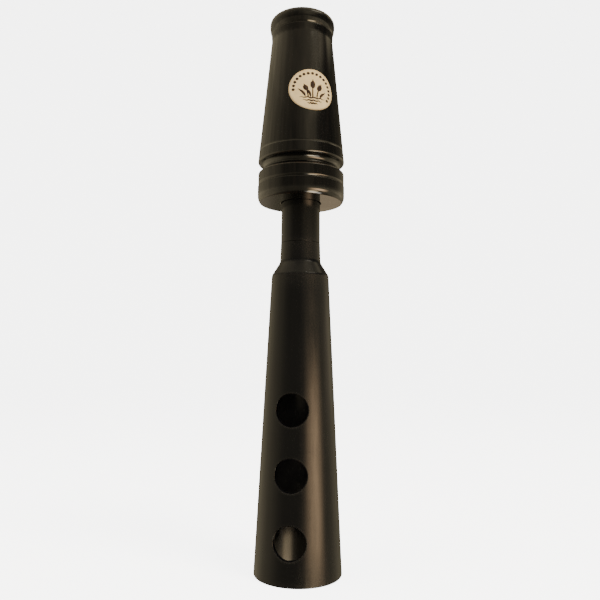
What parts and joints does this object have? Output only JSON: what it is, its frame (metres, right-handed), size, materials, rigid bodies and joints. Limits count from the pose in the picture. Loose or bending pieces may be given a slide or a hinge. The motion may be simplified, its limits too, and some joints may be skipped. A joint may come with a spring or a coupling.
{
  "type": "duck call",
  "caption": "Hand-held game call: a turned barrel on a stem, with a tone board and reed inside it, above a long belled flute with a row of finger holes.",
  "frame": {"origin": "centre of the bell's mouth, in the plane of its rim, on which the call stands", "axes": "+Z along the call from the bell to the mouthpiece; the finger holes face -Y; +X completes a right-handed frame"},
  "size_m": [0.036, 0.036, 0.2278],
  "materials": {
    "bell_plastic": "satin black, moulded and turned",
    "stem_plastic": "satin black",
    "seal_rubber": "dull black nitrile",
    "board_plastic": "bone-coloured, filed smooth",
    "reed_film": "clear-white polyester film",
    "wedge_cork": "fine-grained cork",
    "barrel_lacquer": "turned hardwood under gloss black lacquer",
    "label_paper": "cream varnished paper"
  },
  "bodies": {
    "flute": {"flute_bell": "bell_plastic"},
    "neck_ring": {"neck_seal": "seal_rubber"},
    "stem": {"stem": "stem_plastic", "tone_board": "board_plastic", "wedge": "wedge_cork"},
    "reed": {"reed": "reed_film"},
    "barrel_rings": {"lower_barrel_seal": "seal_rubber", "upper_barrel_seal": "seal_rubber"},
    "barrel": {"barrel": "barrel_lacquer", "label": "label_paper"}
  },
  "joints": [
    {"name": "stem_pull", "type": "slide", "parent": "flute", "child": "neck_ring", "axis": [0, 0, 1], "range_m": [0, 0.018]},
    {"name": "stem_turn", "type": "hinge", "parent": "neck_ring", "child": "stem", "pos_m": [0, 0, 0.1255], "axis": [0, 0, 1], "continuous": true},
    {"name": "reed_flex", "type": "hinge", "parent": "stem", "child": "reed", "pos_m": [0, -0.00047, 0.1776], "axis": [1, 0, 0], "range_deg": [-1.2, 1.2], "stiffness_Nm_per_rad": 0.005},
    {"name": "barrel_turn", "type": "hinge", "parent": "stem", "child": "barrel_rings", "pos_m": [0, 0, 0.1545], "axis": [0, 0, 1], "continuous": true},
    {"name": "barrel_pull", "type": "slide", "parent": "barrel_rings", "child": "barrel", "axis": [0, 0, 1], "range_m": [0, 0.06]}
  ]
}
